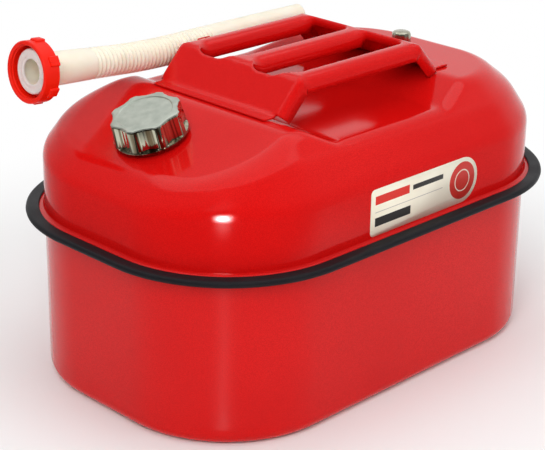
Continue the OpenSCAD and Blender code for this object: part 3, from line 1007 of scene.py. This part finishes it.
# millimetres up from the skirt or down from the top, each with how far the form draws in there
rim_rows = [(0, 0.7), (0.25, 0.25), (0.7, 0), (1.9, 0), (2.5, 0.2)]
side_foot = 3
side_rows = [(2.2, 0.9), (1.0, 1.1), (0.4, 1.4), (0.1, 1.8), (0, 2.6)]
cap_rows = [(cap_ceiling, cap_hollow), (cap_skirt, cap_hollow)]
cap_rows += [(cap_skirt + up * mm, cap_reach - inset * mm) for up, inset in rim_rows]
cap_rows += [(cap_skirt + side_foot * mm, cap_side(0))]
cap_rows += [(cap_rise - down * mm, cap_side(inset)) for down, inset in side_rows]
cap_rows += [(cap_rise, lip_reach), (cap_disc, disc_reach), (cap_disc, disc_middle)]
cap_shell = ringed("cap_shell_plated", cap_rows, cap_steps)
cap_shell.data.materials.append(bright_plate())
cap_shell.data.materials.append(satin_plate())
for face in cap_shell.data.polygons:
    face.material_index = int(face.center.z > satin_from)
cap_shell.data.transform(filler_turn)
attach(cap_shell, "cap")
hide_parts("cap_shell")

# Vent
# A threaded boss brazed into the deck, a black washer and a plated knob on a drilled stud.
# Loosening the knob lets air in while the can pours.
vent_x = 131 * mm
stud_foot = deck_height - 12 * mm
stud_reach = 3.95 * mm
knob_foot = deck_height + 4 * mm
knob_reach = 8.2 * mm
flute_depth = 0.28 * mm
flutes = 12
knob_steps = 144


def knobbed(inset):
    """The plan of the vent knob: shallow flutes around it."""
    return lambda angle: knob_reach - inset * mm - flute_depth * (1 - math.cos(flutes * angle)) / 2


def knob_plate():
    """Dull plating on the vent knob."""
    return plain_coat(
        "knob_plate", scales=(900, 1800, 160), tones=((0.34, 0.32, 0.24), (0.50, 0.49, 0.40)),
        rough=(0.16, 0.3), rough_by="Fleck", bumps=(0.1, 0.08 * mm), shine={"Metallic": 1})


# millimetres up from the foot of the knob, each with its radius or how far the flutes draw in there
knob_base = [(0, 7.2), (0.4, 7.6)]
knob_grip = [(1.2, 0), (7.6, 0), (9.0, 0.3)]
knob_crown = [(10.1, 7.0), (10.7, 5.6), (11, 3.4)]
knob_rows = [(stud_foot, stud_reach), (knob_foot, stud_reach)]
knob_rows += [(knob_foot + up * mm, radius * mm) for up, radius in knob_base]
knob_rows += [(knob_foot + up * mm, knobbed(inset)) for up, inset in knob_grip]
knob_rows += [(knob_foot + up * mm, radius * mm) for up, radius in knob_crown]
vent_screw = ringed("vent_screw_knob", knob_rows, knob_steps)
vent_screw.data.transform(Matrix.Translation((vent_x, 0, 0)))
vent_screw.data.materials.append(knob_plate())
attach(vent_screw, "vent")
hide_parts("vent_screw")
dress("vent_boss", paint)
dress("vent_gasket", rubber)

# Pouring spout
# One blow moulded tube of milky polyethylene: a slender tip, a ribbed length that bends, and a wide end.
# Its flange and a pale seal sit loose inside a red ring nut, which screws on the filler neck to pour.
head_tilt = math.radians(5)
tip_way = Vector((math.cos(tip_tilt), 0, math.sin(tip_tilt)))
head_way = Vector((-math.cos(head_tilt), 0, math.sin(head_tilt)))
head_turn = Matrix.Translation(bend_spot) @ Matrix.Rotation(head_tilt - math.pi / 2, 4, "Y")
tip_length = 169 * mm
tip_radius = 9 * mm
bellows_end = 35.4 * mm
bellows_ribs = 18
funnel_length = 117 * mm
funnel_radius = 14 * mm
rib_pitch = 4 * mm
rib_depth = 1.3 * mm
rib_roundness = 1.6
spout_wall = 2 * mm


def moulded_tube():
    """Tree: a round tube along a bent line, flaring between two radii, with ribs over a part of it."""
    tree, given = form_tree("moulded_tube", {
        "Vector": ("Start", "Middle", "End"), "Int": ("Steps",), "Material": ("Material",),
        "Float": ("First Radius", "Last Radius", "Flare", "Rib Length", "Rib Pitch", "Rib Depth")})
    line = add_node(tree, "GeometryNodeCurveQuadraticBezier", {
        "Start": given["Start"], "Middle": given["Middle"], "End": given["End"], "Resolution": 48})
    steps = add_node(tree, "GeometryNodeResampleCurve", {
        "Curve": line.outputs["Curve"], "Count": given["Steps"]})
    spot = tree.nodes.new("GeometryNodeSplineParameter").outputs
    flare = maths(tree, "POWER", spot["Factor"], given["Flare"])
    growth = maths(tree, "SUBTRACT", given["Last Radius"], given["First Radius"])
    smooth = maths(tree, "ADD", given["First Radius"], maths(tree, "MULTIPLY", growth, flare))
    turns = maths(tree, "DIVIDE", spot["Length"], given["Rib Pitch"])
    wave = maths(tree, "COSINE", maths(tree, "MULTIPLY", turns, math.tau))
    lifted = maths(tree, "MULTIPLY", maths(tree, "ADD", wave, 1), 0.5)
    valley = maths(tree, "POWER", lifted, rib_roundness)
    ribbed = maths(tree, "LESS_THAN", spot["Length"], given["Rib Length"])
    sunk = maths(tree, "MULTIPLY", maths(tree, "MULTIPLY", valley, ribbed), given["Rib Depth"])
    ring = add_node(tree, "GeometryNodeCurvePrimitiveCircle", {"Resolution": 56, "Radius": 1})
    tube = add_node(tree, "GeometryNodeCurveToMesh", {
        "Curve": steps.outputs["Curve"], "Profile Curve": ring.outputs["Curve"],
        "Scale": maths(tree, "SUBTRACT", smooth, sunk)})
    return finish_tree(tree, tube.outputs["Mesh"], given["Material"])


def milky_poly():
    """Milky polyethylene: waxy, a little see-through, with a faint mould grain."""
    wax = {"Subsurface Weight": 0.35, "Subsurface Radius": (0.006, 0.004, 0.003), "Subsurface Scale": 0.6}
    return plain_coat(
        "milky_poly", scales=(500, 1200, 45), tones=((0.87, 0.79, 0.64), (0.91, 0.84, 0.71)),
        rough=(0.34, 0.46), bumps=(0.15, 0.08 * mm), shine=wax)


poly = milky_poly()
tube_tree = moulded_tube()


def tube_piece(name, start, middle, end, last_radius, steps, flare=1.0, rib_length=1.0, pitch=rib_pitch):
    """A length of the spout; it is ribbed all along unless a length is given."""
    return made_by(tube_tree, name, {
        "Start": start, "Middle": middle, "End": end, "Steps": steps, "Material": poly,
        "First Radius": spout_reach, "Last Radius": last_radius, "Flare": flare,
        "Rib Length": rib_length, "Rib Pitch": pitch, "Rib Depth": rib_depth})


tip_start = bend_spot + tip_way * bellows_end
tip_end = bend_spot + tip_way * tip_length
head_start = bend_spot + head_way * bellows_end
head_end = bend_spot + head_way * funnel_length
spout_tip = tube_piece(
    "spout_tip_tube", tip_start, (tip_start + tip_end) / 2, tip_end, tip_radius,
    steps=337, rib_length=6.5 * rib_pitch)
spout_bellows = tube_piece(
    "spout_bellows_tube", tip_start, bend_spot, head_start, spout_reach,
    steps=217, pitch=2 * bellows_end / bellows_ribs)
spout_funnel = tube_piece(
    "spout_funnel_tube", head_start, (head_start + head_end) / 2, head_end, funnel_radius,
    steps=190, flare=1.7, rib_length=7.5 * rib_pitch)
tubes = {"spout_tip": spout_tip, "spout_bellows": spout_bellows, "spout_funnel": spout_funnel}
for node, tube in tubes.items():
    thicken(tube, spout_wall)
    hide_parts(node)
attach(spout_tip, "spout")
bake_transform(spout_bellows)
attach(spout_funnel, "spout_head")


def turned_ring(name, outline, count):
    """A ring turned from a closed outline of (radius, height) in millimetres, which runs anticlockwise."""
    points = []
    for i in range(count):
        angle = math.tau * i / count
        points += [(r * mm * math.cos(angle), r * mm * math.sin(angle), z * mm) for r, z in outline]
    size = len(outline)
    faces = []
    for i in range(count):
        for k in range(size):
            a = i * size
            b = (i + 1) % count * size
            j = (k + 1) % size
            faces.append((a + k, b + k, b + j, a + j))
    return new_piece(name, points, faces, sharp=40)


flange_outline = [(12.0, 114.6), (17.0, 114.6), (17.5, 115.1), (17.5, 118.0), (17.1, 118.4), (12.0, 118.4)]
spout_flange = turned_ring("spout_flange", flange_outline, count=96)
spout_flange.data.transform(head_turn)
spout_flange.data.materials.append(poly)
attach(spout_flange, "spout_head")
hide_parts("spout_funnel")


def pale_seal():
    """Pale soft seal; its faint pink cast is painted light reflected from the red nut around it."""
    return plain_coat(
        "pale_seal", scales=(800, 1500, 90), tones=((0.72, 0.63, 0.60), (0.80, 0.73, 0.70)),
        rough=(0.25, 0.4), bumps=(0.2, 0.08 * mm),
        shine={"Subsurface Weight": 0.25, "Subsurface Radius": (0.004, 0.002, 0.002)})


seal_outline = [
    (9.7, 118.9), (10.2, 118.5), (17.0, 118.5), (17.4, 118.8), (17.4, 119.6), (17.0, 120.2), (16.2, 120.5),
    (15.2, 120.5), (14.4, 120.1), (12.6, 120.0), (11.8, 120.4), (10.6, 120.4), (9.9, 120.0),
]
spout_gasket = turned_ring("spout_gasket_ring", seal_outline, count=96)
spout_gasket.data.transform(head_turn)
spout_gasket.data.materials.append(pale_seal())
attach(spout_gasket, "spout_head")
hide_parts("spout_gasket")


def lugged_ring():
    """Tree: a ring with a lug repeated around it."""
    tree, given = form_tree("lugged_ring", {
        "Object": ("Ring", "Lug"), "Int": ("Count",), "Float": ("Reach",), "Material": ("Material",)})
    ring = add_node(tree, "GeometryNodeObjectInfo", {"Object": given["Ring"]})
    lug = add_node(tree, "GeometryNodeObjectInfo", {"Object": given["Lug"]})
    spots = add_node(tree, "GeometryNodeMeshCircle", {"Vertices": given["Count"], "Radius": given["Reach"]})
    where = tree.nodes.new("GeometryNodeInputPosition").outputs["Position"]
    facing = add_node(
        tree, "FunctionNodeAlignRotationToVector", {"Vector": where}, axis="X", pivot_axis="Z")
    lugs = add_node(tree, "GeometryNodeInstanceOnPoints", {
        "Points": spots.outputs["Mesh"], "Instance": lug.outputs["Geometry"],
        "Rotation": facing.outputs["Rotation"]})
    both = add_node(tree, "GeometryNodeJoinGeometry", {"Geometry": ring.outputs["Geometry"]})
    feed(tree, both.inputs["Geometry"], lugs.outputs["Instances"])
    return finish_tree(tree, both.outputs["Geometry"], given["Material"])


def nut_plastic():
    """Moulded orange-red plastic with a soft sheen."""
    return plain_coat(
        "nut_plastic", scales=(700, 1600, 60), tones=((0.80, 0.010, 0.002), (0.88, 0.014, 0.003)),
        rough=(0.3, 0.42), rough_by="Fleck", bumps=(0.2, 0.08 * mm), shine={"Specular IOR Level": 0.14})


nut_outline = [
    (14.5, 111.4), (14.9, 111.0), (23.2, 111.0), (24.0, 111.8), (24.0, 124.2), (23.3, 125.0), (21.3, 125.0),
    (20.6, 124.3), (20.6, 122.6), (20.0, 122.0), (20.0, 121.4), (20.6, 120.8), (20.6, 114.0), (14.5, 114.0),
]
nut_ring = turned_ring("nut_ring", nut_outline, count=128)

# a lug rises straight from its foot and draws in at its top
nut_reach = 24 * mm
nut_lugs = 6
lug_foot = 111.1
lug_bend = 118.6
lug_top = 119.3
lug_set_back = 0.5
lug_taper = 0.9
lug_outline = [(-3, -4), (0.6, -4), (1.2, -3.4), (1.2, 3.4), (0.6, 4), (-3, 4)]
lug_size = len(lug_outline)
lug_points = [(x * mm, y * mm, z * mm) for z in (lug_foot, lug_bend) for x, y in lug_outline]
lug_points += [((x - lug_set_back) * mm, y * lug_taper * mm, lug_top * mm) for x, y in lug_outline]
lug_faces = [tuple(reversed(range(lug_size))), tuple(range(2 * lug_size, 3 * lug_size))]
for first in (0, lug_size):
    for i in range(lug_size):
        a = first + i
        b = first + (i + 1) % lug_size
        lug_faces.append((a, b, b + lug_size, a + lug_size))
nut_lug = new_piece("nut_lug", lug_points, lug_faces)
spout_nut = made_by(lugged_ring(), "spout_nut_ring", {
    "Ring": nut_ring, "Lug": nut_lug, "Count": nut_lugs, "Reach": nut_reach, "Material": nut_plastic()})
bpy.data.objects.remove(nut_ring)
bpy.data.objects.remove(nut_lug)
spout_nut.data.transform(head_turn)
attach(spout_nut, "spout_nut")
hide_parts("spout_nut")

# Studio
# A white table top under three soft lamps, with cards around it that show in shiny surfaces only.
# The camera stands off the left front corner and looks down on the can.
table_half = 6
table_level = -0.0004
table_sides = ((-1, -1), (1, -1), (1, 1), (-1, 1))
table_corners = [(x * table_half, y * table_half, table_level) for x, y in table_sides]
table_top = new_piece("table_top", table_corners, [(0, 1, 2, 3)])


def seen_as_backdrop(tree):
    """One for rays that look at the backdrop, straight or by way of metal and clear pieces."""
    rays = tree.nodes.new("ShaderNodeLightPath").outputs
    looks = maths(tree, "MAXIMUM", rays["Is Camera Ray"], rays["Is Glossy Ray"])
    return maths(tree, "MAXIMUM", looks, rays["Is Transmission Ray"])


def table_white():
    """White table: it takes the shadow near the can and runs out into the white behind it."""
    material, tree, shader = fresh_material("table_white")
    shader.inputs["Base Color"].default_value = (0.92, 0.92, 0.92, 1)
    shader.inputs["Roughness"].default_value = 0.9
    shader.inputs["Specular IOR Level"].default_value = 0.1
    place = tree.nodes.new("ShaderNodeTexCoord").outputs["Object"]
    reach = add_node(tree, "ShaderNodeVectorMath", {0: place}, operation="LENGTH").outputs["Value"]
    feeds = {"Value": reach, "From Min": 0.2, "From Max": 0.55}
    away = add_node(tree, "ShaderNodeMapRange", feeds, interpolation_type="SMOOTHSTEP").outputs["Result"]
    white = tree.nodes.new("ShaderNodeEmission").outputs["Emission"]
    seen = maths(tree, "MULTIPLY", away, seen_as_backdrop(tree))
    both = add_node(tree, "ShaderNodeMixShader", {"Fac": seen, 1: shader.outputs["BSDF"], 2: white})
    feed(tree, tree.nodes["Material Output"].inputs["Surface"], both.outputs["Shader"])
    return material


table_top.data.materials.append(table_white())


def soft_lamp(name, place, aim, size, power, shines=True):
    """A soft round lamp; one that does not shine lights only the matt part of a surface."""
    lamp = bpy.data.lights.new(name, "AREA")
    lamp.shape = "ELLIPSE"
    lamp.size, lamp.size_y = size
    lamp.energy = power
    stand = linked(name, lamp)
    stand.location = place
    stand.rotation_euler = (Vector(aim) - Vector(place)).to_track_quat("-Z", "Y").to_euler()
    stand.visible_camera = False
    stand.visible_glossy = shines


soft_lamp("overhead_lamp", place=(0.1, 0.2, 1.7), aim=(0, 0, 0.1), size=(2.6, 2.2), power=15)
soft_lamp(
    "corner_lamp", place=(-1.2, -0.8, 1.15), aim=(-0.05, 0, 0.12), size=(0.8, 0.8), power=13, shines=False)
soft_lamp("front_lamp", place=(0.5, -1.5, 0.9), aim=(0, 0, 0.1), size=(1.8, 1.4), power=7, shines=False)


def gloss_card(name, rows, glow, beam=0):
    """A card that shows in shiny surfaces only, made of rows of points with a glow for each point.

    A card with a beam adds light close to straight ahead and hides nothing; the others hide what is behind.
    """
    size = len(rows[0])
    points = [p for row in rows for p in row]
    corners = [k + i for k in range(0, len(points) - size, size) for i in range(size - 1)]
    card = new_piece(name, points, [(a, a + 1, a + size + 1, a + size) for a in corners])
    brightness = card.data.attributes.new("glow", "FLOAT", "POINT")
    for spot, value in zip(brightness.data, [value for row in glow for value in row]):
        spot.value = value
    material, tree, shader = fresh_material(name)
    tree.nodes.remove(shader)
    bright = add_node(tree, "ShaderNodeAttribute", {}, attribute_name="glow").outputs["Fac"]
    slant = add_node(tree, "ShaderNodeLayerWeight", {"Blend": 0.5}).outputs["Facing"]
    narrowed = maths(tree, "POWER", maths(tree, "SUBTRACT", 1, slant), beam)
    strength = maths(tree, "MULTIPLY", bright, narrowed)
    surface = add_node(tree, "ShaderNodeEmission", {"Strength": strength}).outputs["Emission"]
    if beam > 0:
        clear = tree.nodes.new("ShaderNodeBsdfTransparent").outputs["BSDF"]
        surface = add_node(tree, "ShaderNodeAddShader", {0: clear, 1: surface}).outputs["Shader"]
    feed(tree, tree.nodes["Material Output"].inputs["Surface"], surface)
    card.data.materials.append(material)
    card.visible_camera = False
    card.visible_diffuse = False
    card.visible_shadow = False


# two cards close to the nearest corner, snooted toward the camera's mirror image: a leaning strip for the
# soft upright streak on the pan, and a small bright one for the white glint on the bend of the top
corner_spot = Vector((-0.1763, -0.1031, 0))
outward = Vector((-0.737, -0.676, 0))
sideways = Vector((0.676, -0.737, 0))
snoot = 40

# each row of the streak has a rise, a half width and a peak; the profile is a share of that peak
streak_out = 0.02
streak_slant = 0.41
streak_spot = corner_spot + streak_out * outward
streak_lean = (outward * streak_slant + Vector((0, 0, 1))).normalized()
streak_rows = [(0, 0.02, 6), (0.025, 0.023, 3), (0.11, 0.032, 1.2)]
streak_profile = [(-1, 0), (-0.5, 0.3), (0, 1), (0.5, 0.3), (1, 0)]
streak_points = []
streak_glow = []
for rise, width, peak in streak_rows:
    middle = streak_spot + rise * streak_lean
    streak_points.append([middle + across * width * sideways for across, _ in streak_profile])
    streak_glow.append([share * peak for _, share in streak_profile])
gloss_card("corner_streak", streak_points, streak_glow, snoot)

glint_out = 0.06
glint_height = 0.174
glint_spot = corner_spot + glint_out * outward + Vector((0, 0, glint_height))
glint_wide = 0.02
glint_tall = 0.028
glint_peak = 320
glint_steps = [step / 5 for step in range(-5, 6)]
glint_points = []
glint_glow = []
for up in glint_steps:
    lift = Vector((0, 0, up * glint_tall))
    glint_points.append([glint_spot + across * glint_wide * sideways + lift for across in glint_steps])
    glint_glow.append([glint_peak * ((1 - across ** 2) * (1 - up ** 2)) ** 3 for across in glint_steps])
gloss_card("corner_glint", glint_points, glint_glow, snoot)

# in shiny surfaces the camera's side of the room is dark, which gives the paint and the plating their depth;
# each row has a reach, a height and how far it darkens
room_angles = [math.radians(angle) for angle in range(90, 341, 10)]
room_rows = [(0.46, 0.002, 0), (0.56, 0.002, 1), (2.5, 0.002, 1), (2.5, 2.2, 0.9), (2.0, 3.6, 0.4)]
room_fade = [math.sin(math.pi * i / (len(room_angles) - 1)) ** 0.5 for i in range(len(room_angles))]
room_light = 0.95
room_darkening = 0.9
room_points = []
room_glow = []
for reach, height, dark in room_rows:
    room_points.append([(reach * math.cos(turn), reach * math.sin(turn), height) for turn in room_angles])
    room_glow.append([room_light - room_darkening * dark * fade for fade in room_fade])
gloss_card("dark_room", room_points, room_glow)

# the ceiling is dim in its middle and bright at its edges; each step has a place and a glow
ceiling_height = 3.8
ceiling_steps = [(-6, 0.95), (-2.2, 0.45), (2.2, 0.45), (6, 0.95)]
ceiling_points = [[(x, y, ceiling_height) for x, _ in ceiling_steps] for y, _ in ceiling_steps]
ceiling_glow = [[max(here, there) for _, here in ceiling_steps] for _, there in ceiling_steps]
gloss_card("dim_ceiling", ceiling_points, ceiling_glow)

studio = bpy.data.worlds.new("studio")
bpy.context.scene.world = studio
studio.use_nodes = True
sky_tree = studio.node_tree
sky = sky_tree.nodes["Background"]
sky.inputs["Color"].default_value = (1, 1, 1, 1)
sky_feeds = {"Value": seen_as_backdrop(sky_tree), "To Min": 0.36, "To Max": 1}
sky_level = add_node(sky_tree, "ShaderNodeMapRange", sky_feeds).outputs["Result"]
feed(sky_tree, sky.inputs["Strength"], sky_level)

camera_aim = Vector((-0.02253, 0, 0.10583))
camera_roll = Matrix.Rotation(math.radians(0.84), 3, "Z")
camera_data = bpy.data.cameras.new("photo_camera")
camera_data.sensor_width = 36
camera_data.lens = 108.23
camera = linked("photo_camera", camera_data)
camera.location = (-0.9127, -0.8831, 0.6198)
tilt = (camera_aim - camera.location).to_track_quat("-Z", "Y").to_matrix() @ camera_roll
camera.rotation_euler = tilt.to_euler()
bpy.context.scene.camera = camera
bpy.context.scene.view_settings.view_transform = "Standard"
